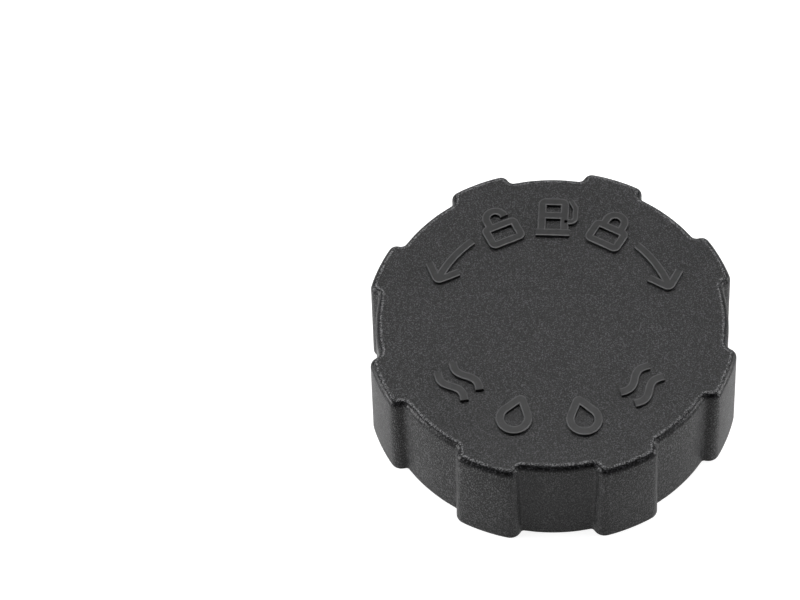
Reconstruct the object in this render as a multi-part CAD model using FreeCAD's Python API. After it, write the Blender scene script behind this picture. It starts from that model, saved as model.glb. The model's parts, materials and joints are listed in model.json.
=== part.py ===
# Screw-on fuel filler cap, moulded in one piece, with the flat rubber ring that seals it on the neck.
# The origin is the centre of the open rim, which the cap stands on. Z points to the closed top.
# Sizes are in millimetres and degrees.
import FreeCAD, Part
import math
import os

# Screw thread inside the body: one right-hand ridge that rises out of the wall and sinks back into it
thread_root_radius = 29.8
thread_height = 1.6
thread_root_width = 2.7
thread_crest_width = 1.6
thread_pitch = 4.8
thread_lead_in = 30.0
thread_start_angle = -100.0
thread_bite = 0.4

# Plain entry that leads the neck into the thread
entry_relief = 0.8
entry_length = 2.7
entry_bevel = 0.25

# Outside of the body at the open rim, counted outwards from the entry
side_wall = 5.15
lug_height = 2.25
lug_count = 8
lug_root_width = 13.9
lug_tip_width = 12.9
draft_angle = 1.4
height = 23.4
top_wall = 2.2

# Rounding of the lug corners and of the edge round the closed top
outside_round = 1.5

# Core pocket in each lug, open at the rim
pocket_inner_wall = 1.0
pocket_outer_wall = 1.6
pocket_side_wall = 2.0
pocket_roof = 4.3
pocket_draft = 1.0

# Tapered tube in the middle of the inner floor
tube_bore_radius = 5.8
tube_bore_draft = 1.0
tube_lip = 0.8
tube_lip_bevel = 0.2
tube_height = 7.0
tube_taper = 12.0
dimple_radius = 1.6
dimple_depth = 0.7

# Rubber sealing ring, flat on the inner floor beyond the last turn of the thread
seal_thickness = 2.0
seal_width = 10.7
seal_side_gap = 1.2
seal_edge_bevel = 0.4
seal_thread_gap = 2.1

UP = FreeCAD.Vector(0, 0, 1)
CENTRE = FreeCAD.Vector(0, 0, 0)
CUT_PAST = 1.0

entry_radius = thread_root_radius + entry_relief
body_radius = entry_radius + side_wall
lug_radius = body_radius + lug_height
floor_level = height - top_wall
seal_level = floor_level - seal_thickness
seal_outer_radius = thread_root_radius - seal_side_gap
seal_inner_radius = seal_outer_radius - seal_width


def drafted(size, level, angle):
    """A size of the open rim as it has become at a level above it."""
    return size - level * math.tan(math.radians(angle))


def revolved(corners):
    """A turned solid from (radius, level) corners."""
    points = [FreeCAD.Vector(radius, 0, level) for radius, level in corners]
    return Part.Face(Part.makePolygon(points + points[:1])).revolve(CENTRE, UP, 360)


def tapered_block(low, high, low_level, high_level):
    """A four-sided block across X. Each end is (near radius, far radius, near half width, far half width)."""
    rings = []
    for (near, far, near_half, far_half), level in ((low, low_level), (high, high_level)):
        rings.append([
            FreeCAD.Vector(near, -near_half, level),
            FreeCAD.Vector(far, -far_half, level),
            FreeCAD.Vector(far, far_half, level),
            FreeCAD.Vector(near, near_half, level),
        ])
    bottom, top = rings
    outlines = [bottom, top]
    for i in range(4):
        after = (i + 1) % 4
        outlines.append([bottom[i], bottom[after], top[after], top[i]])
    faces = [Part.Face(Part.makePolygon(outline + outline[:1])) for outline in outlines]
    block = Part.Solid(Part.Shell(faces))
    if block.Volume < 0:
        block.reverse()
    return block


def at_each_lug(shape):
    """Copies of a shape that lies on X, one turned to each lug."""
    copies = []
    for i in range(lug_count):
        copy = shape.copy()
        copy.rotate(CENTRE, UP, (i + 0.5) * 360.0 / lug_count)
        copies.append(copy)
    return copies


def lug():
    """One grip lug: a block with drafted sides, trimmed to the cone that all lug tips lie on."""
    root = math.sqrt(body_radius ** 2 - (lug_root_width / 2) ** 2)
    tip = math.sqrt(lug_radius ** 2 - (lug_tip_width / 2) ** 2)
    slope = (lug_tip_width - lug_root_width) / 2 / (tip - root)
    near = entry_radius
    far = lug_radius + CUT_PAST

    def end(level):
        root_half = drafted(lug_root_width / 2, level, draft_angle)
        return (near, far, root_half + slope * (near - root), root_half + slope * (far - root))

    block = tapered_block(end(0), end(height), 0, height)
    tips = Part.makeCone(lug_radius, drafted(lug_radius, height, draft_angle), height)
    tips.rotate(CENTRE, UP, 180)
    return block.common(tips)


def outside_body():
    """The solid outside form: a drafted drum with its lugs, rounded at the lug corners and round the top."""
    drum = Part.makeCone(body_radius, drafted(body_radius, height, draft_angle), height)
    form = drum.multiFuse(at_each_lug(lug())).removeSplitter()
    corners = []
    for edge in form.Edges:
        middle = edge.valueAt((edge.FirstParameter + edge.LastParameter) / 2)
        past_drum = math.hypot(middle.x, middle.y) - drafted(body_radius, middle.z, draft_angle)
        if 0 < middle.z < height and past_drum > lug_height / 2:
            corners.append(edge)
    top_edges = [edge for edge in form.Edges if edge.BoundBox.ZMin > height - 0.001]
    return form.makeFillet(outside_round, corners + top_edges)


def cavity():
    """What the core leaves open: entry, bore and the space round and inside the tube."""
    lip_level = floor_level - tube_height
    lip_radius = tube_bore_radius + tube_lip
    return revolved([
        (0, -CUT_PAST),
        (entry_radius + entry_bevel + CUT_PAST, -CUT_PAST),
        (entry_radius, entry_bevel),
        (entry_radius, entry_length),
        (thread_root_radius, entry_length + entry_relief),
        (thread_root_radius, floor_level),
        (lip_radius + tube_height * math.tan(math.radians(tube_taper)), floor_level),
        (lip_radius, lip_level + tube_lip_bevel),
        (lip_radius - tube_lip_bevel, lip_level),
        (tube_bore_radius + tube_lip_bevel, lip_level),
        (tube_bore_radius, lip_level + tube_lip_bevel),
        (drafted(tube_bore_radius, tube_height, tube_bore_draft), floor_level),
        (dimple_radius, floor_level),
        (dimple_radius, floor_level + dimple_depth),
        (0, floor_level + dimple_depth),
    ])


def pocket():
    """The core pocket of the lug on X, with side walls that stay parallel and a draft towards its roof."""
    roof_level = height - pocket_roof

    def end(level):
        lean = level * math.tan(math.radians(pocket_draft))
        near = entry_radius + pocket_inner_wall + lean
        far = drafted(lug_radius, level, draft_angle) - pocket_outer_wall - lean
        half = lug_tip_width / 2 - pocket_side_wall - lean
        return (near, far, half, half)

    return tapered_block(end(-CUT_PAST), end(roof_level), -CUT_PAST, roof_level)


def thread():
    """The ridge as one skin through its sections, which start and end inside the wall."""
    first_level = entry_length + thread_root_width / 2
    last_level = seal_level - seal_thread_gap - thread_root_width / 2
    sweep = 360 * (last_level - first_level) / thread_pitch
    rise = [0, 0.3, 0.65, 1]
    steps = math.ceil((sweep - 2 * thread_lead_in) / 20)
    stops = [(share * thread_lead_in, share) for share in rise]
    for i in range(1, steps):
        stops.append((thread_lead_in + i * (sweep - 2 * thread_lead_in) / steps, 1))
    stops += [(sweep - share * thread_lead_in, share) for share in reversed(rise)]
    sections = []
    for angle, share in stops:
        level = first_level + thread_pitch * angle / 360
        root = thread_root_radius + thread_bite
        crest = thread_root_radius + thread_bite / 4 - (thread_height + thread_bite / 4) * share
        widening = 0.2 + 0.8 * share
        root_half = thread_root_width / 2 * widening
        crest_half = thread_crest_width / 2 * widening
        corners = [
            FreeCAD.Vector(root, 0, level - root_half),
            FreeCAD.Vector(crest, 0, level - crest_half),
            FreeCAD.Vector(crest, 0, level + crest_half),
            FreeCAD.Vector(root, 0, level + root_half),
        ]
        wire = Part.makePolygon(corners + corners[:1])
        wire.rotate(CENTRE, UP, thread_start_angle + angle)
        sections.append(wire)
    return Part.makeLoft(sections, True, False)


def cap_body():
    """The whole moulding."""
    body = outside_body().cut(cavity())
    body = body.cut(Part.Compound(at_each_lug(pocket())))
    return body.fuse(thread())


def seal_ring():
    """The flat rubber ring against the inner floor."""
    return revolved([
        (seal_inner_radius, seal_level + seal_edge_bevel),
        (seal_inner_radius + seal_edge_bevel, seal_level),
        (seal_outer_radius, seal_level),
        (seal_outer_radius, floor_level),
        (seal_inner_radius, floor_level),
    ])


os.makedirs("parts", exist_ok=True)
cap_body().exportStep("parts/cap_body.step")
seal_ring().exportStep("parts/seal_ring.step")
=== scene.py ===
import json
import math

import bmesh
import bpy
from mathutils import Matrix, Vector


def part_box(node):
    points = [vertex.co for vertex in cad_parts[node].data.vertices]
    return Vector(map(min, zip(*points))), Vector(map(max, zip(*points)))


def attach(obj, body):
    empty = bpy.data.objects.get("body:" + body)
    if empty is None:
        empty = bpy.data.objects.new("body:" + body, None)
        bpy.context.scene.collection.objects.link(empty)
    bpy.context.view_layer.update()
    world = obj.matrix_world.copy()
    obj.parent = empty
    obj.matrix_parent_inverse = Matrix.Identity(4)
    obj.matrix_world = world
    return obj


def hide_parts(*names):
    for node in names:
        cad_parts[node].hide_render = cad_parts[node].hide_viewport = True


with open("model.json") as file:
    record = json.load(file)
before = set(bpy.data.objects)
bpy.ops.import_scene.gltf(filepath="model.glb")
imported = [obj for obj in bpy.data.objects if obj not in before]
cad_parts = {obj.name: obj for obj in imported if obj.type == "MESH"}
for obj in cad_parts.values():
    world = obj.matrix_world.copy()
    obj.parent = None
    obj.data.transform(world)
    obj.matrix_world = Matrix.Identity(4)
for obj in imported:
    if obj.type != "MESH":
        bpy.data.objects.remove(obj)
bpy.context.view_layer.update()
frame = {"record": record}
record = frame["record"]

# Cap body, outside: the drum with its grip lugs and closed top. The whole body is one injection
# moulding in black plastic, spark-eroded in the mould to a fine leathery grain on the outside.
# Lengths are drawn in millimetres and come to metres when the piece is finished.
MM = 0.001
cap_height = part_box("cap_body")[1].z / MM
entry_radius = record["mounts"][0]["dims"]["r_mm"]
side_wall = 5.15
lug_height = 2.25
body_radius = entry_radius + side_wall
lug_radius = body_radius + lug_height
lug_count = 8
lug_root_width = 13.9
lug_tip_width = 12.9
lug_foot_round = 0.6
lug_corner_round = 2.3
outside_draft = math.radians(1.4)
rim_round = 0.3
rim_land = 0.5
top_round = 1.5
top_land = 1.52
top_ring_shares = [0.985, 0.7, 0.5, 0.0]
points_per_arc = 15
corner_room = 0.2
steps_per_round = 7
seam_gap = 1e-4


def add_node(tree, kind, inputs=None, **settings):
    """A node with its settings, and each input either linked or given a value."""
    node = tree.nodes.new(kind)
    for label, value in settings.items():
        setattr(node, label, value)
    for label, value in (inputs or {}).items():
        if isinstance(value, bpy.types.NodeSocket):
            tree.links.new(value, node.inputs[label])
        else:
            node.inputs[label].default_value = value
    return node


def calc(tree, operation, *values):
    """The result of one sum on numbers or sockets."""
    node = add_node(tree, "ShaderNodeMath", dict(enumerate(values)), operation=operation)
    return node.outputs[0]


def choose(tree, test, no, yes):
    """The socket of a number that depends on a test."""
    inputs = {"Switch": test, "False": no, "True": yes}
    return add_node(tree, "GeometryNodeSwitch", inputs, input_type="FLOAT").outputs[0]


def blended(tree, share, start, end):
    """A number that runs from start to end as share runs from 0 to 1."""
    return calc(tree, "MULTIPLY_ADD", calc(tree, "SUBTRACT", end, start), share, start)


def mixed(tree, kind, share, first, second):
    """Two sockets blended by a share. The kind is FLOAT, VECTOR or RGBA, and each has its own inputs."""
    row = ("FLOAT", "VECTOR", "RGBA").index(kind)
    inputs = {"Factor": share, 2 * row + 2: first, 2 * row + 3: second}
    return add_node(tree, "ShaderNodeMix", inputs, data_type=kind).outputs[row]


def new_tree(name, sizes):
    """A node tree whose named inputs are the sizes, and the sockets that give them."""
    tree = bpy.data.node_groups.new(name, "GeometryNodeTree")
    tree.interface.new_socket("Geometry", in_out="OUTPUT", socket_type="NodeSocketGeometry")
    tree.interface.new_socket("Section", in_out="INPUT", socket_type="NodeSocketGeometry")
    for label, value in sizes.items():
        kind = "NodeSocketInt" if isinstance(value, int) else "NodeSocketFloat"
        tree.interface.new_socket(label, in_out="INPUT", socket_type=kind)
    tree.interface.new_socket("Material", in_out="INPUT", socket_type="NodeSocketMaterial")
    return tree, tree.nodes.new("NodeGroupInput").outputs


def end_tree(tree, geometry, material):
    """The tree's last nodes: real geometry, then its material."""
    real = add_node(tree, "GeometryNodeRealizeInstances", {"Geometry": geometry})
    inputs = {"Geometry": real.outputs[0], "Material": material}
    painted = add_node(tree, "GeometryNodeSetMaterial", inputs)
    add_node(tree, "NodeGroupOutput", {0: painted.outputs[0]})


def line_mesh(name, corners, edges):
    """A mesh of lines between (x, y, rounding) corners in the XY plane."""
    line = bpy.data.meshes.new(name)
    line.from_pydata([(x, y, 0) for x, y, _ in corners], edges, [])
    rounding = line.attributes.new("rounding", "FLOAT", "POINT")
    rounding.data.foreach_set("value", [corner[2] for corner in corners])
    return line


def section_line(name, corners, closed=False):
    """A section line through (outward, upward, rounding) corners. A sweep turns its -Y upwards."""
    count = len(corners)
    edges = [(i, (i + 1) % count) for i in range(count if closed else count - 1)]
    return line_mesh(name, [(outward, -upward, rounding) for outward, upward, rounding in corners], edges)


def grown(tree, line, sizes, material):
    """The plain mesh that a tree makes of a line."""
    holder = bpy.data.objects.new(tree.name, line)
    bpy.context.scene.collection.objects.link(holder)
    modifier = holder.modifiers.new(tree.name, "NODES")
    modifier.node_group = tree
    values = {**sizes, "Material": material}
    for item in tree.interface.items_tree:
        if item.in_out == "INPUT" and item.name in values:
            modifier[item.identifier] = values[item.name]
    graph = bpy.context.evaluated_depsgraph_get()
    mesh = bpy.data.meshes.new_from_object(holder.evaluated_get(graph), depsgraph=graph)
    holder.modifiers.remove(modifier)
    bpy.data.objects.remove(holder)
    return mesh


def two_arc_outline(tree, count, first, second):
    """A closed outline in the XY plane of count pairs of arcs, each (radius, from, to, rounding).
    No point of an arc lies nearer to its corner than its corner_room share, where the rounding runs."""
    in_pair = 2 * points_per_arc
    last = points_per_arc - 1
    points = add_node(tree, "GeometryNodeCurvePrimitiveCircle",
                      {"Resolution": calc(tree, "MULTIPLY", count, in_pair)})
    index = add_node(tree, "GeometryNodeInputIndex").outputs[0]
    pair = calc(tree, "FLOOR", calc(tree, "DIVIDE", calc(tree, "ADD", index, 0.5), in_pair))
    in_first = calc(tree, "LESS_THAN", calc(tree, "MODULO", index, in_pair), points_per_arc)
    step = calc(tree, "MODULO", index, points_per_arc)
    is_last = calc(tree, "COMPARE", step, last, 0.5)
    at_end = calc(tree, "ADD", calc(tree, "COMPARE", step, 0, 0.5), is_last)
    spread = add_node(tree, "ShaderNodeMapRange", {
        "Value": step, "From Min": 1.0, "From Max": last - 1,
        "To Min": corner_room, "To Max": 1 - corner_room,
    }).outputs[0]
    share = choose(tree, at_end, spread, is_last)
    pitch = calc(tree, "DIVIDE", math.tau, count)
    angles = [blended(tree, share, start, end) for _, start, end, _ in (first, second)]
    centre = calc(tree, "MULTIPLY", pair, pitch)
    angle = calc(tree, "ADD", choose(tree, in_first, angles[1], angles[0]), centre)
    radius = choose(tree, in_first, second[0], first[0])
    place = add_node(tree, "ShaderNodeCombineXYZ", {
        "X": calc(tree, "MULTIPLY", radius, calc(tree, "COSINE", angle)),
        "Y": calc(tree, "MULTIPLY", radius, calc(tree, "SINE", angle)),
    })
    placed = add_node(tree, "GeometryNodeSetPosition",
                      {"Geometry": points.outputs[0], "Position": place.outputs[0]})
    rounding = calc(tree, "MULTIPLY", at_end, choose(tree, in_first, second[3], first[3]))
    rounded = add_node(tree, "GeometryNodeFilletCurve", {
        "Curve": placed.outputs[0], "Radius": rounding, "Count": steps_per_round, "Limit Radius": True,
    }, mode="POLY")
    return rounded.outputs[0]


def rounded_section(tree, line):
    """The line as a curve with its corners rounded."""
    section = add_node(tree, "GeometryNodeMeshToCurve", {"Mesh": line})
    rounding = add_node(tree, "GeometryNodeInputNamedAttribute", {"Name": "rounding"}, data_type="FLOAT")
    rounded = add_node(tree, "GeometryNodeFilletCurve", {
        "Curve": section.outputs[0], "Radius": rounding.outputs[0], "Count": steps_per_round,
        "Limit Radius": True,
    }, mode="POLY")
    return rounded.outputs[0]


def swept(tree, outline, section, **inputs):
    """The section carried along the outline, upright all the way."""
    upright = add_node(tree, "GeometryNodeSetCurveNormal", {"Curve": outline}, mode="Z_UP")
    inputs = {"Curve": upright.outputs[0], "Profile Curve": section, **inputs}
    return add_node(tree, "GeometryNodeCurveToMesh", inputs).outputs[0]


def closed_above(tree, shell, level, centre, shares):
    """The shell with its open edge above a level drawn in, ring by ring, to a centre on X."""
    height = add_node(tree, "ShaderNodeSeparateXYZ",
                      {0: add_node(tree, "GeometryNodeInputPosition").outputs[0]}).outputs["Z"]
    sides = add_node(tree, "GeometryNodeInputMeshEdgeNeighbors").outputs[0]
    open_edge = calc(tree, "MULTIPLY", calc(tree, "GREATER_THAN", height, level),
                     calc(tree, "LESS_THAN", sides, 1.5))
    middle = add_node(tree, "ShaderNodeCombineXYZ", {"X": centre, "Z": height}).outputs[0]
    edge = open_edge
    for share in shares:
        ring = add_node(tree, "GeometryNodeExtrudeMesh",
                        {"Mesh": shell, "Selection": edge, "Offset Scale": 0.0}, mode="EDGES")
        here = add_node(tree, "GeometryNodeInputPosition").outputs[0]
        shell = add_node(tree, "GeometryNodeSetPosition", {
            "Geometry": ring.outputs["Mesh"], "Selection": ring.outputs["Top"],
            "Position": mixed(tree, "VECTOR", share, middle, here),
        }).outputs[0]
        edge = ring.outputs["Top"]
    closed = add_node(tree, "GeometryNodeMergeByDistance", {"Geometry": shell, "Distance": seam_gap})
    return closed.outputs[0]


def new_finish(name, roughness, specular=0.5):
    """A new material, its tree and its shader node."""
    material = bpy.data.materials.new(name)
    material.use_nodes = True
    shader = material.node_tree.nodes["Principled BSDF"]
    shader.inputs["Roughness"].default_value = roughness
    shader.inputs["Specular IOR Level"].default_value = specular
    return material, material.node_tree, shader


def greys(tree, pattern, stops, blue_share=1.03):
    """A colour ramp over (place, level) stops of a grey, with its blue at a share of the level."""
    node = add_node(tree, "ShaderNodeValToRGB", {"Fac": pattern})
    while len(node.color_ramp.elements) < len(stops):
        node.color_ramp.elements.new(0.5)
    for element, (place, level) in zip(node.color_ramp.elements, stops):
        element.position = place
        element.color = (level, level, level * blue_share, 1)
    return node.outputs[0]


def facing_up(tree):
    """How far a surface faces up on the object: 1 on the closed top, and 0 on an upright wall."""
    normal = add_node(tree, "ShaderNodeTexCoord").outputs["Normal"]
    return add_node(tree, "ShaderNodeSeparateXYZ", {0: normal}).outputs["Z"]


def painted_edge_highlight(tree, before_edge_highlight, edge_highlight, edge):
    """The first colour, and the second as a painted highlight where a surface faces up as far as a rounded
    edge does. The painted highlight fades in between the first two of the edge's four values, and out
    between the last two."""
    highlight_share = greys(tree, facing_up(tree), list(zip(edge, (0, 1, 1, 0))), blue_share=1.0)
    return mixed(tree, "RGBA", highlight_share, before_edge_highlight, edge_highlight)


def bumped(tree, shader, height, strength, depth):
    """A bump on the shader's normal, with its depth in metres."""
    bump = add_node(tree, "ShaderNodeBump", {"Height": height, "Strength": strength, "Distance": depth})
    tree.links.new(bump.outputs[0], shader.inputs["Normal"])


def polished(tree, shader, pattern, smoothest, roughest):
    """Roughness that follows a pattern from the smoothest to the roughest."""
    polish = add_node(tree, "ShaderNodeMapRange", {
        "Value": pattern, "From Min": 0.3, "From Max": 0.7, "To Min": smoothest, "To Max": roughest,
    })
    tree.links.new(polish.outputs[0], shader.inputs["Roughness"])


def grained_plastic():
    """Black plastic with the leathery grain of an eroded mould, drawn out on the side walls, whose specks
    are painted lighter there as a sheen of the side light, and with a painted highlight round the edge of
    the top."""
    material, tree, shader = new_finish("grained_black_plastic", roughness=0.5, specular=0.19)
    place = add_node(tree, "ShaderNodeTexCoord").outputs["Object"]
    place = add_node(tree, "ShaderNodeMapping", {"Vector": place, "Scale": (1.0, 1.0, 0.55)}).outputs[0]
    # The side walls' mask for painted sheen: there the grain's specks take a lighter ramp than on the top.
    on_side = add_node(tree, "ShaderNodeMapRange",
                       {"Value": facing_up(tree), "From Min": 0.5, "From Max": 0.1}).outputs[0]
    pebbles = add_node(tree, "ShaderNodeTexVoronoi",
                       {"Vector": place, "Scale": 2600.0, "Smoothness": 0.25}, feature="SMOOTH_F1")
    specks = add_node(tree, "ShaderNodeTexNoise", {"Vector": place, "Scale": 4400.0, "Detail": 1.0})
    clouds = add_node(tree, "ShaderNodeTexNoise", {"Vector": place, "Scale": 130.0, "Detail": 3.0})
    grain = mixed(tree, "FLOAT", 0.5, pebbles.outputs["Distance"], specks.outputs[0])
    bumped(tree, shader, grain, strength=1.0, depth=0.0001)
    top_grain = greys(tree, specks.outputs[0],
                    [(0.42, 0.001), (0.53, 0.004), (0.66, 0.042)], blue_share=1.08)
    # Painted sheen on the side walls: the same grain as the top, with lighter, more contrasty specks that
    # stand in for glints and shade under the side lamps.
    wall_grain_and_sheen = greys(tree, specks.outputs[0], [(0.38, 0.002), (0.52, 0.010), (0.65, 0.090)])
    # Painted highlight: a paler ramp on the top's rounded edge where it faces up, standing in for the
    # bright line of light along that edge.
    edge_highlight = greys(tree, specks.outputs[0], [(0.40, 0.010), (0.50, 0.040), (0.64, 0.155)])
    before_edge_highlight = mixed(tree, "RGBA", on_side, top_grain, wall_grain_and_sheen)
    colour = painted_edge_highlight(tree, before_edge_highlight, edge_highlight, edge=(0.87, 0.93, 0.983, 0.9985))
    tree.links.new(colour, shader.inputs["Base Color"])
    polished(tree, shader, clouds.outputs[0], smoothest=0.33, roughest=0.39)
    return material


def smooth_plastic():
    """The same plastic from the polished core of the mould."""
    material, tree, shader = new_finish("smooth_black_plastic", roughness=0.3)
    place = add_node(tree, "ShaderNodeTexCoord").outputs["Object"]
    streaks = add_node(tree, "ShaderNodeTexNoise", {"Vector": place, "Scale": 420.0, "Detail": 4.0})
    bumped(tree, shader, streaks.outputs[0], strength=0.35, depth=0.00004)
    colour = greys(tree, streaks.outputs[0], [(0.3, 0.020), (0.7, 0.030)])
    tree.links.new(colour, shader.inputs["Base Color"])
    polished(tree, shader, streaks.outputs[0], smoothest=0.26, roughest=0.38)
    return material


outside_finish = grained_plastic()
inside_finish = smooth_plastic()

drum_sizes = {
    "Lug Count": lug_count, "Drum Radius": body_radius, "Lug Radius": lug_radius,
    "Lug Root Width": lug_root_width, "Lug Tip Width": lug_tip_width,
    "Foot Round": lug_foot_round, "Corner Round": lug_corner_round, "Height": cap_height,
}
drum_tree, given = new_tree("lugged_drum", drum_sizes)
tip_angle = calc(drum_tree, "ARCSINE", calc(drum_tree, "DIVIDE", given["Lug Tip Width"],
                                            calc(drum_tree, "MULTIPLY", given["Lug Radius"], 2)))
root_angle = calc(drum_tree, "ARCSINE", calc(drum_tree, "DIVIDE", given["Lug Root Width"],
                                             calc(drum_tree, "MULTIPLY", given["Drum Radius"], 2)))
half_pitch = calc(drum_tree, "DIVIDE", math.pi, given["Lug Count"])
outline = two_arc_outline(
    drum_tree, given["Lug Count"],
    (given["Lug Radius"], calc(drum_tree, "SUBTRACT", half_pitch, tip_angle),
     calc(drum_tree, "ADD", half_pitch, tip_angle), given["Corner Round"]),
    (given["Drum Radius"], calc(drum_tree, "ADD", half_pitch, root_angle),
     calc(drum_tree, "SUBTRACT", calc(drum_tree, "MULTIPLY", half_pitch, 3), root_angle),
     given["Foot Round"]),
)
wall = swept(drum_tree, outline, rounded_section(drum_tree, given["Section"]))
half_height = calc(drum_tree, "MULTIPLY", given["Height"], 0.5)
wall = closed_above(drum_tree, wall, half_height, 0.0, top_ring_shares)
end_tree(drum_tree, wall, given["Material"])

top_inset = cap_height * math.tan(outside_draft)
wall_section = section_line("wall_section", [
    (-rim_land, 0, 0),
    (0, 0, rim_round),
    (-top_inset, cap_height, top_round),
    (-top_inset - top_land, cap_height, 0),
])
outside_shell = grown(drum_tree, wall_section, drum_sizes, outside_finish)

# Cap body, lug pockets: the cores that keep each lug's wall even. They are open at the rim, and
# their walls lean in towards the roof so that the moulding leaves the mould.
pocket_inner_wall = 1.0
pocket_outer_wall = 1.6
pocket_side_wall = 2.0
pocket_roof = 4.3
pocket_inner_radius = entry_radius + pocket_inner_wall
pocket_outer_radius = lug_radius - pocket_outer_wall
pocket_width = lug_tip_width - 2 * pocket_side_wall
pocket_roof_level = cap_height - pocket_roof
pocket_corner_round = 0.5
pocket_mouth_round = 0.2
pocket_mouth_land = 0.25
pocket_roof_round = 0.6
pocket_roof_land = 1.2
pocket_ring_shares = [0.8, 0.0]
pocket_draft = math.radians(1.0)

pocket_sizes = {
    "Lug Count": lug_count, "Inner Radius": pocket_inner_radius, "Outer Radius": pocket_outer_radius,
    "Width": pocket_width, "Corner Round": pocket_corner_round, "Roof Level": pocket_roof_level,
}
pocket_tree, given = new_tree("lug_pockets", pocket_sizes)
half_width = calc(pocket_tree, "DIVIDE", given["Width"], 2)
far_angle = calc(pocket_tree, "ARCSINE", calc(pocket_tree, "DIVIDE", half_width, given["Outer Radius"]))
near_angle = calc(pocket_tree, "ARCSINE", calc(pocket_tree, "DIVIDE", half_width, given["Inner Radius"]))
far_start = calc(pocket_tree, "MULTIPLY", far_angle, -1)
near_end = calc(pocket_tree, "MULTIPLY", near_angle, -1)
mouth = two_arc_outline(
    pocket_tree, 1,
    (given["Outer Radius"], far_start, far_angle, given["Corner Round"]),
    (given["Inner Radius"], near_angle, near_end, given["Corner Round"]),
)
pocket = swept(pocket_tree, mouth, rounded_section(pocket_tree, given["Section"]))
pocket_middle = calc(pocket_tree, "DIVIDE", calc(pocket_tree, "ADD", given["Inner Radius"],
                                                 given["Outer Radius"]), 2)
pocket = closed_above(pocket_tree, pocket, calc(pocket_tree, "MULTIPLY", given["Roof Level"], 0.5),
                      pocket_middle, pocket_ring_shares)
lugs = add_node(pocket_tree, "GeometryNodePoints", {"Count": given["Lug Count"]})
number = add_node(pocket_tree, "GeometryNodeInputIndex").outputs[0]
turn = calc(pocket_tree, "DIVIDE", calc(pocket_tree, "MULTIPLY", calc(pocket_tree, "ADD", number, 0.5),
                                        math.tau), given["Lug Count"])
turned = add_node(pocket_tree, "FunctionNodeEulerToRotation",
                  {0: add_node(pocket_tree, "ShaderNodeCombineXYZ", {"Z": turn}).outputs[0]})
pockets = add_node(pocket_tree, "GeometryNodeInstanceOnPoints",
                   {"Points": lugs.outputs[0], "Instance": pocket, "Rotation": turned.outputs[0]})
end_tree(pocket_tree, pockets.outputs[0], given["Material"])

pocket_lean = pocket_roof_level * math.tan(pocket_draft)
pocket_section = section_line("pocket_section", [
    (pocket_mouth_land, 0, 0),
    (0, 0, pocket_mouth_round),
    (-pocket_lean, pocket_roof_level, pocket_roof_round),
    (-pocket_lean - pocket_roof_land, pocket_roof_level, 0),
])
pocket_shells = grown(pocket_tree, pocket_section, pocket_sizes, inside_finish)

# Cap body, inside: the plain entry, the bore that carries the thread, the inner floor and the
# tapered tube in its middle, all turned surfaces of the mould's polished core.
entry_relief = 0.8
bore_radius = entry_radius - entry_relief
entry_length = 2.7
floor_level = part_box("seal_ring")[1].z / MM
tube_height = 7.0
tube_bore_radius = 5.8
tube_lip = 0.8
tube_taper = math.radians(12.0)
tube_bore_draft = math.radians(1.0)
dimple_radius = 1.6
dimple_depth = 0.7
dimple_edge_round = 0.1
lip_round = 0.2
core_round = 0.3
floor_round = 0.4
tube_foot_round = 0.5
steps_per_turn = 180

inside_sizes = {"Bore Radius": bore_radius, "Steps Per Turn": steps_per_turn}
inside_tree, given = new_tree("turned_inside", inside_sizes)
ring = add_node(inside_tree, "GeometryNodeCurvePrimitiveCircle",
                {"Resolution": given["Steps Per Turn"], "Radius": given["Bore Radius"]})
turned_wall = swept(inside_tree, ring.outputs[0], rounded_section(inside_tree, given["Section"]))
turned_wall = add_node(inside_tree, "GeometryNodeMergeByDistance",
                       {"Geometry": turned_wall, "Distance": seam_gap}).outputs[0]
end_tree(inside_tree, turned_wall, given["Material"])

tube_top = floor_level - tube_height
tube_outer_radius = tube_bore_radius + tube_lip
inside_corners = [
    (entry_radius + rim_land, 0, 0),
    (entry_radius, 0, rim_round),
    (entry_radius, entry_length, lip_round),
    (bore_radius, entry_length + entry_relief, core_round),
    (bore_radius, floor_level, floor_round),
    (tube_outer_radius + tube_height * math.tan(tube_taper), floor_level, tube_foot_round),
    (tube_outer_radius, tube_top, lip_round),
    (tube_bore_radius, tube_top, lip_round),
    (tube_bore_radius - tube_height * math.tan(tube_bore_draft), floor_level, core_round),
    (dimple_radius, floor_level, dimple_edge_round),
    (dimple_radius, floor_level + dimple_depth, core_round),
    (0, floor_level + dimple_depth, 0),
]
inside_section = section_line("inside_section", [
    (radius - bore_radius, level, rounding) for radius, level, rounding in inside_corners
])
inside_shell = grown(inside_tree, inside_section, inside_sizes, inside_finish)

# Cap body, thread: one right-hand ridge that rises out of the bore's wall, runs twice round and
# sinks back into the wall. The core unscrews from it when the cap is moulded.
thread_height = 1.6
thread_bite = 0.4
thread_root_width = 2.7
thread_crest_width = 1.6
thread_crest_round = 0.25
thread_pitch = 4.8
thread_start_turn = math.radians(-100.0)
thread_lead_in = math.radians(30.0)
thread_end_share = 0.15
seal_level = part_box("seal_ring")[0].z / MM
seal_thread_gap = 2.1
thread_first_level = entry_length + thread_root_width / 2
thread_last_level = seal_level - seal_thread_gap - thread_root_width / 2
thread_turns = (thread_last_level - thread_first_level) / thread_pitch
thread_steps = round(thread_turns * steps_per_turn)

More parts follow.
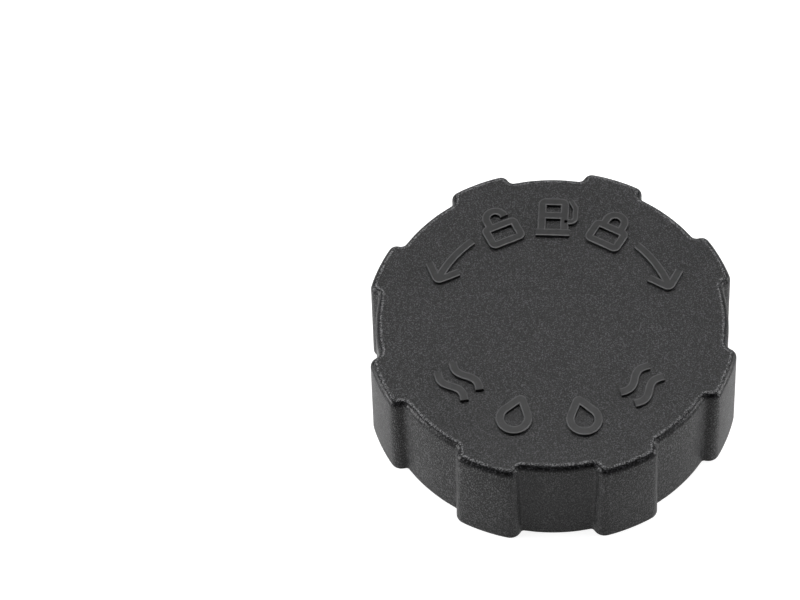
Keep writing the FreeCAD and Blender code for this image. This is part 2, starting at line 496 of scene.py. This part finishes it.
thread_sizes = {
    "Base Radius": bore_radius + thread_bite, "Pitch": thread_pitch, "Steps": thread_steps,
    "Steps Per Turn": steps_per_turn, "First Level": thread_first_level, "Start Turn": thread_start_turn,
    "Lead In": thread_lead_in, "End Share": thread_end_share,
}
thread_tree, given = new_tree("thread_ridge", thread_sizes)
path = add_node(thread_tree, "GeometryNodeResampleCurve", {
    "Curve": add_node(thread_tree, "GeometryNodeCurvePrimitiveLine").outputs[0],
    "Count": calc(thread_tree, "ADD", given["Steps"], 1),
})
number = add_node(thread_tree, "GeometryNodeInputIndex").outputs[0]
step_turn = calc(thread_tree, "DIVIDE", math.tau, given["Steps Per Turn"])
along = calc(thread_tree, "MULTIPLY", number, step_turn)
turn = calc(thread_tree, "ADD", given["Start Turn"], along)
place = add_node(thread_tree, "ShaderNodeCombineXYZ", {
    "X": calc(thread_tree, "MULTIPLY", given["Base Radius"], calc(thread_tree, "COSINE", turn)),
    "Y": calc(thread_tree, "MULTIPLY", given["Base Radius"], calc(thread_tree, "SINE", turn)),
})
path = add_node(thread_tree, "GeometryNodeSetPosition",
                {"Geometry": path.outputs[0], "Position": place.outputs[0]})
rise = calc(thread_tree, "MULTIPLY_ADD", calc(thread_tree, "DIVIDE", along, math.tau), given["Pitch"],
            given["First Level"])
left = calc(thread_tree, "MULTIPLY", calc(thread_tree, "SUBTRACT", given["Steps"], number), step_turn)
fullness = add_node(thread_tree, "ShaderNodeMapRange", {
    "Value": calc(thread_tree, "MINIMUM", along, left), "From Max": given["Lead In"],
    "To Min": given["End Share"],
}).outputs[0]
carried = add_node(thread_tree, "GeometryNodeCaptureAttribute", {"Geometry": path.outputs[0]})
carried.capture_items.new("FLOAT", "Rise")
thread_tree.links.new(rise, carried.inputs["Rise"])
ridge = swept(thread_tree, carried.outputs["Geometry"], rounded_section(thread_tree, given["Section"]),
              **{"Scale": fullness, "Fill Caps": True})
lift = add_node(thread_tree, "ShaderNodeCombineXYZ", {"Z": carried.outputs["Rise"]})
ridge = add_node(thread_tree, "GeometryNodeSetPosition", {"Geometry": ridge, "Offset": lift.outputs[0]})
end_tree(thread_tree, ridge.outputs[0], given["Material"])

thread_depth = thread_bite + thread_height
thread_section = section_line("thread_section", [
    (0, -thread_root_width / 2, 0),
    (0, thread_root_width / 2, 0),
    (-thread_depth, thread_crest_width / 2, thread_crest_round),
    (-thread_depth, -thread_crest_width / 2, thread_crest_round),
], closed=True)
thread_ridge = grown(thread_tree, thread_section, thread_sizes, inside_finish)

# Cap body, joined to one moulding: its outside, pockets and inside meet in the flat face of the
# rim, and the thread's ridge is one piece with the wall that it rises from.
weld_distance = 1e-3
moulding_edge_angle = math.radians(32)


def welded(name, shells, finishes):
    """One closed mesh of several shells. What is open lies in the plane of the rim and is closed there."""
    body = bmesh.new()
    for shell in shells:
        known = len(body.faces)
        body.from_mesh(shell)
        body.faces.ensure_lookup_table()
        number = finishes.index(shell.materials[-1])
        for face in body.faces[known:]:
            face.material_index = number
    bmesh.ops.remove_doubles(body, verts=body.verts, dist=weld_distance)
    open_edges = [edge for edge in body.edges if edge.is_boundary]
    bmesh.ops.triangle_fill(body, use_beauty=True, edges=open_edges)
    bmesh.ops.recalc_face_normals(body, faces=body.faces)
    mesh = bpy.data.meshes.new(name)
    body.to_mesh(mesh)
    body.free()
    for finish in finishes:
        mesh.materials.append(finish)
    return mesh


def put_in_scene(name, mesh, edge_angle):
    """The finished mesh as a piece in metres, smooth apart from its sharper edges."""
    mesh.transform(Matrix.Scale(MM, 4))
    mesh.shade_smooth()
    mesh.set_sharp_from_angle(angle=edge_angle)
    piece = bpy.data.objects.new(name, mesh)
    bpy.context.scene.collection.objects.link(piece)
    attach(piece, "root")
    return piece


def united(mesh, added):
    """One closed mesh of two that overlap."""
    holder = bpy.data.objects.new("united", mesh)
    tool = bpy.data.objects.new("united_tool", added)
    for item in (holder, tool):
        bpy.context.scene.collection.objects.link(item)
    joint = holder.modifiers.new("union", "BOOLEAN")
    joint.operation = "UNION"
    joint.solver = "EXACT"
    joint.object = tool
    graph = bpy.context.evaluated_depsgraph_get()
    result = bpy.data.meshes.new_from_object(holder.evaluated_get(graph), depsgraph=graph)
    holder.modifiers.remove(joint)
    bpy.data.objects.remove(holder)
    bpy.data.objects.remove(tool)
    return result


cap_finishes = [outside_finish, inside_finish]
cap_mesh = welded("cap_moulding", [outside_shell, pocket_shells, inside_shell], cap_finishes)
ridge_mesh = welded("ridge_moulding", [thread_ridge], cap_finishes)
cap_piece = put_in_scene("cap_moulding", united(cap_mesh, ridge_mesh), moulding_edge_angle)
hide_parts("cap_body")

# Sealing ring: a flat ring of black rubber, cut from a moulded tube. It lies loose against the
# inner floor round the tube, and the neck's edge presses on its face.
ring_low, ring_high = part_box("seal_ring")
ring_outer_radius = ring_high.x / MM
ring_width = 10.7
ring_edge_round = 0.45
ring_back_round = 0.1
ring_edge_angle = math.radians(40)


def black_rubber():
    """Soft black rubber with a fine matt skin."""
    material, tree, shader = new_finish("black_rubber", roughness=0.62)
    place = add_node(tree, "ShaderNodeTexCoord").outputs["Object"]
    skin = add_node(tree, "ShaderNodeTexNoise", {"Vector": place, "Scale": 1500.0, "Detail": 4.0})
    bumped(tree, shader, skin.outputs[0], strength=0.4, depth=0.00005)
    bloom = add_node(tree, "ShaderNodeTexNoise", {"Vector": place, "Scale": 160.0, "Detail": 2.0})
    colour = greys(tree, bloom.outputs[0], [(0.35, 0.016), (0.7, 0.026)], blue_share=1.04)
    tree.links.new(colour, shader.inputs["Base Color"])
    return material


ring_section = section_line("ring_section", [
    (0, ring_low.z / MM, ring_edge_round),
    (0, ring_high.z / MM, ring_back_round),
    (-ring_width, ring_high.z / MM, ring_back_round),
    (-ring_width, ring_low.z / MM, ring_edge_round),
], closed=True)
ring_sizes = {"Bore Radius": ring_outer_radius, "Steps Per Turn": steps_per_turn}
rubber_finish = black_rubber()
ring_shell = grown(inside_tree, ring_section, ring_sizes, rubber_finish)
ring_mesh = welded("seal_ring_mesh", [ring_shell], [rubber_finish])
ring_piece = put_in_scene("rubber_ring", ring_mesh, ring_edge_angle)
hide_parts("seal_ring")

# Raised signs on the closed top, part of the same moulding but from a polished insert. The upper band
# has a fuel pump between an open and a closed padlock and two turning arrows, and the lower band has
# two drops between waves. Places on a band are in degrees, and all signs are read from the front.
upper_band_radius = 24.6
lower_band_radius = 23.8
pump_place = 86.0
open_padlock_place = 113.5
closed_padlock_place = 59.0
opening_arrow_places = (129, 157)
closing_arrow_places = (43.5, 15)
wave_places = (218, 316)
drop_places = (251, 283)
sign_half_height = 3.83
pump_left = -2.9
pump_right = 1.7
sign_stroke = 1.75
sign_fine_stroke = 1.25
sign_relief = 0.68
sign_sink = 0.2
sign_side_lean = 0.07
sign_edge_width = 0.24
sign_edge_drop = 0.045
sign_edge_angle = math.radians(8)


def arc(x, y, radius, start, end, steps=14):
    """Points (x, y, rounding) along an arc, with its angles in degrees."""
    angles = [math.radians(start + (end - start) * i / steps) for i in range(steps + 1)]
    return [(x + radius * math.cos(a), y + radius * math.sin(a), 0) for a in angles]


def pump_sign():
    """Strokes of a fuel pump: (closed, points) of its housing, the bar under its window and its foot."""
    head_round = 0.7
    housing_foot = -3.1
    window_sill = 0.4
    foot_overhang = 1.1
    housing = [
        (pump_left, housing_foot, 0),
        (pump_left, sign_half_height, head_round),
        (pump_right, sign_half_height, head_round),
        (pump_right, housing_foot, 0),
    ]
    window_bar = [(pump_left, window_sill, 0), (pump_right, window_sill, 0)]
    foot = [
        (pump_left - foot_overhang, -sign_half_height, 0),
        (pump_right + foot_overhang, -sign_half_height, 0),
    ]
    return [(False, housing), (False, window_bar), (False, foot)]


def hose_sign():
    """The pump's hose, out of the housing and up to the nozzle, in the finer stroke."""
    hose_side = 3.9
    hose_foot = -1.1
    hose_head = 1.9
    nozzle_foot = 2.3
    nozzle_tip = (2.9, 4.2)
    foot_round = 1.0
    head_round = 0.4
    nozzle_round = 0.3
    return [(False, [
        (pump_right, hose_foot, 0),
        (hose_side, hose_foot, foot_round),
        (hose_side, hose_head, head_round),
        (hose_side, nozzle_foot, nozzle_round),
        (*nozzle_tip, 0),
    ])]


def padlock_sign(is_open):
    """Strokes of a padlock: its body, and a shackle that is down or stands up out of the body."""
    side = 3.1
    body_top = 0.3
    corner_round = 0.6
    body = [
        (-side, -sign_half_height, corner_round),
        (side, -sign_half_height, corner_round),
        (side, body_top, corner_round),
        (-side, body_top, corner_round),
    ]
    radius = 1.9
    lift = 0.3
    free_end_angle = -5
    shackle = [(-radius, body_top, 0)]
    if is_open:
        shackle += arc(0, radius + lift, radius, 180, free_end_angle)
    else:
        shackle += arc(0, radius, radius, 180, 0) + [(radius, body_top, 0)]
    return [(True, body), (False, shackle)]


def drop_sign():
    """The stroke round a drop: most of a circle, with two tangents to its tip."""
    radius = 2.75
    tip_round = 0.4
    centre = radius - sign_half_height
    reach = math.degrees(math.asin(radius / (sign_half_height - centre)))
    belly = arc(0, centre, radius, reach, -180 - reach, steps=26)
    return [(True, [(0, sign_half_height, tip_round)] + belly)]


def waves_sign():
    """Two strokes, one above the other, that rise and fall once."""
    length = 8.4
    swing = 0.8
    row_level = 1.9
    steps = 24
    rows = []
    for level in (-row_level, row_level):
        points = []
        for i in range(steps + 1):
            across = (i / steps - 0.5) * length
            points.append((across, level + swing * math.sin(across * math.tau / length), 0))
        rows.append((False, points))
    return rows


def placed(strokes, place, on_lower_band=False):
    """Strokes turned to their place on a band. Feet point to the middle on the upper one, tops on the
    lower one."""
    turn = math.radians(place)
    side = -1 if on_lower_band else 1
    band_radius = lower_band_radius if on_lower_band else upper_band_radius
    moved = []
    for closed, points in strokes:
        moved.append((closed, [
            ((band_radius + side * y) * math.cos(turn) + side * x * math.sin(turn),
             (band_radius + side * y) * math.sin(turn) - side * x * math.cos(turn), rounding)
            for x, y, rounding in points
        ]))
    return moved


def turning_arrow(start, tip):
    """An arrow that follows the upper band from one place to another, with a head of two arms."""
    shaft_gap = 1.5
    arm_back = -3.4
    arm_side = 3.2
    tip_round = 0.7
    way = 1 if tip > start else -1
    shaft = arc(0, 0, upper_band_radius, start, tip - way * shaft_gap)
    turn = math.radians(tip)
    head = []
    for along, across, rounding in ((arm_back, arm_side, 0), (0, 0, tip_round), (arm_back, -arm_side, 0)):
        radius = upper_band_radius + across
        head.append((radius * math.cos(turn) - way * along * math.sin(turn),
                     radius * math.sin(turn) + way * along * math.cos(turn), rounding))
    return [(False, shaft), (False, head)]


def drawn_strokes(name, strokes):
    """All strokes as lines of one mesh, in the plane that the tree sweeps along."""
    points = []
    edges = []
    for closed, corners in strokes:
        first = len(points)
        points += corners
        edges += [(i, i + 1) for i in range(first, len(points) - 1)]
        if closed:
            edges.append((len(points) - 1, first))
    return line_mesh(name, points, edges)


sign_sizes = {
    "Stroke": sign_stroke, "Relief": sign_relief, "Sink": sign_sink, "Side Lean": sign_side_lean,
    "Edge Width": sign_edge_width, "Edge Drop": sign_edge_drop, "Face Level": cap_height,
}
sign_tree, given = new_tree("raised_signs", sign_sizes)
thickness = calc(sign_tree, "ADD", given["Relief"], given["Sink"])
crown = calc(sign_tree, "SUBTRACT", given["Stroke"], calc(sign_tree, "MULTIPLY", given["Side Lean"], 2))
bar = add_node(sign_tree, "GeometryNodeCurvePrimitiveQuadrilateral",
               {"Height": thickness, "Bottom Width": crown, "Top Width": given["Stroke"], "Offset": 0.0},
               mode="TRAPEZOID")
bar_depth = add_node(sign_tree, "ShaderNodeSeparateXYZ",
                     {0: add_node(sign_tree, "GeometryNodeInputPosition").outputs[0]}).outputs["Y"]
at_crown = calc(sign_tree, "LESS_THAN", bar_depth, 0.0)
edge_width = calc(sign_tree, "MULTIPLY", at_crown, given["Edge Width"])
bar = add_node(sign_tree, "GeometryNodeFilletCurve",
               {"Curve": bar.outputs[0], "Radius": edge_width, "Count": 1}, mode="POLY")
below_crown = calc(sign_tree, "ADD", bar_depth, calc(sign_tree, "DIVIDE", thickness, 2))
kept_share = calc(sign_tree, "DIVIDE", given["Edge Drop"], given["Edge Width"])
sharpening = calc(sign_tree, "MULTIPLY", calc(sign_tree, "SUBTRACT", kept_share, 1),
                  calc(sign_tree, "MULTIPLY", at_crown, below_crown))
bar = add_node(sign_tree, "GeometryNodeSetPosition", {
    "Geometry": bar.outputs[0],
    "Offset": add_node(sign_tree, "ShaderNodeCombineXYZ", {"Y": sharpening}).outputs[0],
})
path = rounded_section(sign_tree, given["Section"])
strokes = swept(sign_tree, path, bar.outputs[0], **{"Fill Caps": True})
island = add_node(sign_tree, "GeometryNodeInputMeshIsland").outputs[0]
apart = add_node(sign_tree, "GeometryNodeSplitToInstances", {"Geometry": strokes, "Group ID": island},
                 domain="FACE")
merged = add_node(sign_tree, "GeometryNodeMeshBoolean", {"Mesh 2": apart.outputs[0]},
                  operation="UNION", solver="EXACT")
level = calc(sign_tree, "SUBTRACT", calc(sign_tree, "ADD", given["Face Level"], given["Relief"]),
             calc(sign_tree, "DIVIDE", thickness, 2))
raised = add_node(sign_tree, "GeometryNodeSetPosition", {
    "Geometry": merged.outputs[0],
    "Offset": add_node(sign_tree, "ShaderNodeCombineXYZ", {"Z": level}).outputs[0],
})
end_tree(sign_tree, raised.outputs[0], given["Material"])


def sign_plastic():
    """The signs' plastic: the same black, from a polished part of the mould, with a painted highlight
    along the edges of the strokes."""
    material, tree, shader = new_finish("sign_black_plastic", roughness=0.36, specular=0.22)
    place = add_node(tree, "ShaderNodeTexCoord").outputs["Object"]
    haze = add_node(tree, "ShaderNodeTexNoise", {"Vector": place, "Scale": 900.0, "Detail": 4.0})
    bumped(tree, shader, haze.outputs[0], strength=0.3, depth=0.00003)
    face = greys(tree, haze.outputs[0], [(0.3, 0.010), (0.7, 0.017)])
    # Painted highlight: a paler colour on the strokes' edge chamfers, standing in for light caught along
    # them.
    edge_highlight = greys(tree, haze.outputs[0], [(0.3, 0.032), (0.7, 0.056)])
    colour = painted_edge_highlight(tree, face, edge_highlight, edge=(0.93, 0.97, 0.988, 0.996))
    tree.links.new(colour, shader.inputs["Base Color"])
    return material


wide_strokes = placed(padlock_sign(is_open=True), open_padlock_place)
wide_strokes += placed(pump_sign(), pump_place)
wide_strokes += placed(padlock_sign(is_open=False), closed_padlock_place)
wide_strokes += turning_arrow(*opening_arrow_places) + turning_arrow(*closing_arrow_places)
for place in wave_places:
    wide_strokes += placed(waves_sign(), place, on_lower_band=True)
for place in drop_places:
    wide_strokes += placed(drop_sign(), place, on_lower_band=True)
sign_finish = sign_plastic()
wide_mesh = grown(sign_tree, drawn_strokes("wide_strokes", wide_strokes), sign_sizes, sign_finish)
fine_sizes = {**sign_sizes, "Stroke": sign_fine_stroke}
fine_strokes = placed(hose_sign(), pump_place)
fine_mesh = grown(sign_tree, drawn_strokes("fine_strokes", fine_strokes), fine_sizes, sign_finish)
sign_piece = put_in_scene("raised_signs", united(wide_mesh, fine_mesh), sign_edge_angle)

# Stage: the camera where the photograph was taken, a pale floor that runs into a white cove, and
# soft lamps above, behind and at both sides. Lengths are in metres here.
image_width = 800
image_height = 600
sensor_width = 36.0
focal_pixels = 2957.0
camera_distance = 0.6
camera_azimuth = math.radians(-1.8)
camera_elevation = math.radians(56.5)
cap_middle_pixel = (551.7, 350.9)
floor_half = 4.0
floor_grey = 0.45
floor_lift = 0.88
mirrored_share = 0.45
room_light = 0.05
cove_height = 0.14

middle = Vector((0, 0, cap_height * MM / 2))
back = Vector((math.sin(camera_azimuth) * math.cos(camera_elevation),
               -math.cos(camera_azimuth) * math.cos(camera_elevation), math.sin(camera_elevation)))
camera_data = bpy.data.cameras.new("camera")
camera_data.sensor_width = sensor_width
camera_data.lens = focal_pixels * sensor_width / image_width
camera_data.clip_start = 0.01
camera_data.clip_end = 10
camera = bpy.data.objects.new("camera", camera_data)
bpy.context.scene.collection.objects.link(camera)
aim_left = math.atan((cap_middle_pixel[0] - image_width / 2) / focal_pixels)
aim_up = math.atan((cap_middle_pixel[1] - image_height / 2) / focal_pixels)
looking = back.to_track_quat("Z", "Y").to_matrix().to_4x4()
turned_aim = Matrix.Rotation(aim_left, 4, "Y") @ Matrix.Rotation(aim_up, 4, "X")
camera.matrix_world = Matrix.Translation(middle + back * camera_distance) @ looking @ turned_aim
bpy.context.scene.camera = camera

floor_mesh = bpy.data.meshes.new("floor")
floor_mesh.from_pydata([
    (-floor_half, -floor_half, 0), (floor_half, -floor_half, 0),
    (floor_half, floor_half, 0), (-floor_half, floor_half, 0),
], [], [(0, 1, 2, 3)])
floor = bpy.data.objects.new("floor", floor_mesh)
bpy.context.scene.collection.objects.link(floor)


def seen_white(tree):
    """1 where a surface is seen or looked through, less where it is mirrored, and 0 where it only
    lights the cap."""
    path = add_node(tree, "ShaderNodeLightPath")
    mirrored = calc(tree, "MULTIPLY", path.outputs["Is Glossy Ray"], mirrored_share)
    seen = calc(tree, "MAXIMUM", path.outputs["Is Camera Ray"], mirrored)
    return calc(tree, "MAXIMUM", seen, path.outputs["Is Transmission Ray"])


floor_material, floor_tree, floor_shader = new_finish("pale_floor", roughness=0.9, specular=0.0)
floor_shader.inputs["Base Color"].default_value = (floor_grey, floor_grey, floor_grey, 1)
floor_shader.inputs["Emission Color"].default_value = (1, 1, 1, 1)
floor_tree.links.new(calc(floor_tree, "MULTIPLY", seen_white(floor_tree), floor_lift),
                     floor_shader.inputs["Emission Strength"])
floor_mesh.materials.append(floor_material)

world = bpy.data.worlds.new("studio")
bpy.context.scene.world = world
world.use_nodes = True
room_tree = world.node_tree
looked_at = add_node(room_tree, "ShaderNodeTexCoord").outputs["Generated"]
looked_at_height = add_node(room_tree, "ShaderNodeSeparateXYZ", {0: looked_at}).outputs["Z"]
cove = calc(room_tree, "LESS_THAN", looked_at_height, cove_height)
cove_seen = calc(room_tree, "MULTIPLY", cove, seen_white(room_tree))
room_tree.links.new(calc(room_tree, "MAXIMUM", cove_seen, room_light),
                    room_tree.nodes["Background"].inputs["Strength"])


def lamp(name, place, size, power):
    """A soft rectangular lamp that faces the cap."""
    data = bpy.data.lights.new(name, "AREA")
    data.shape = "RECTANGLE"
    data.size, data.size_y = size
    data.energy = power
    lamp_object = bpy.data.objects.new(name, data)
    lamp_object.location = place
    lamp_object.rotation_euler = (middle - Vector(place)).to_track_quat("-Z", "Y").to_euler()
    bpy.context.scene.collection.objects.link(lamp_object)


lamp("lamp_over", place=(0.0, 0.25, 0.78), size=(0.9, 0.24), power=6.2)
lamp("lamp_back", place=(0.0, 0.78, 0.62), size=(1.2, 0.2), power=3.3)
lamp("lamp_left", place=(-0.67, -0.05, 0.16), size=(0.3, 0.26), power=6.0)
lamp("lamp_right", place=(0.67, 0.0, 0.16), size=(0.3, 0.26), power=4.5)

bpy.context.scene.view_settings.view_transform = "Standard"

bpy.context.view_layer.update()
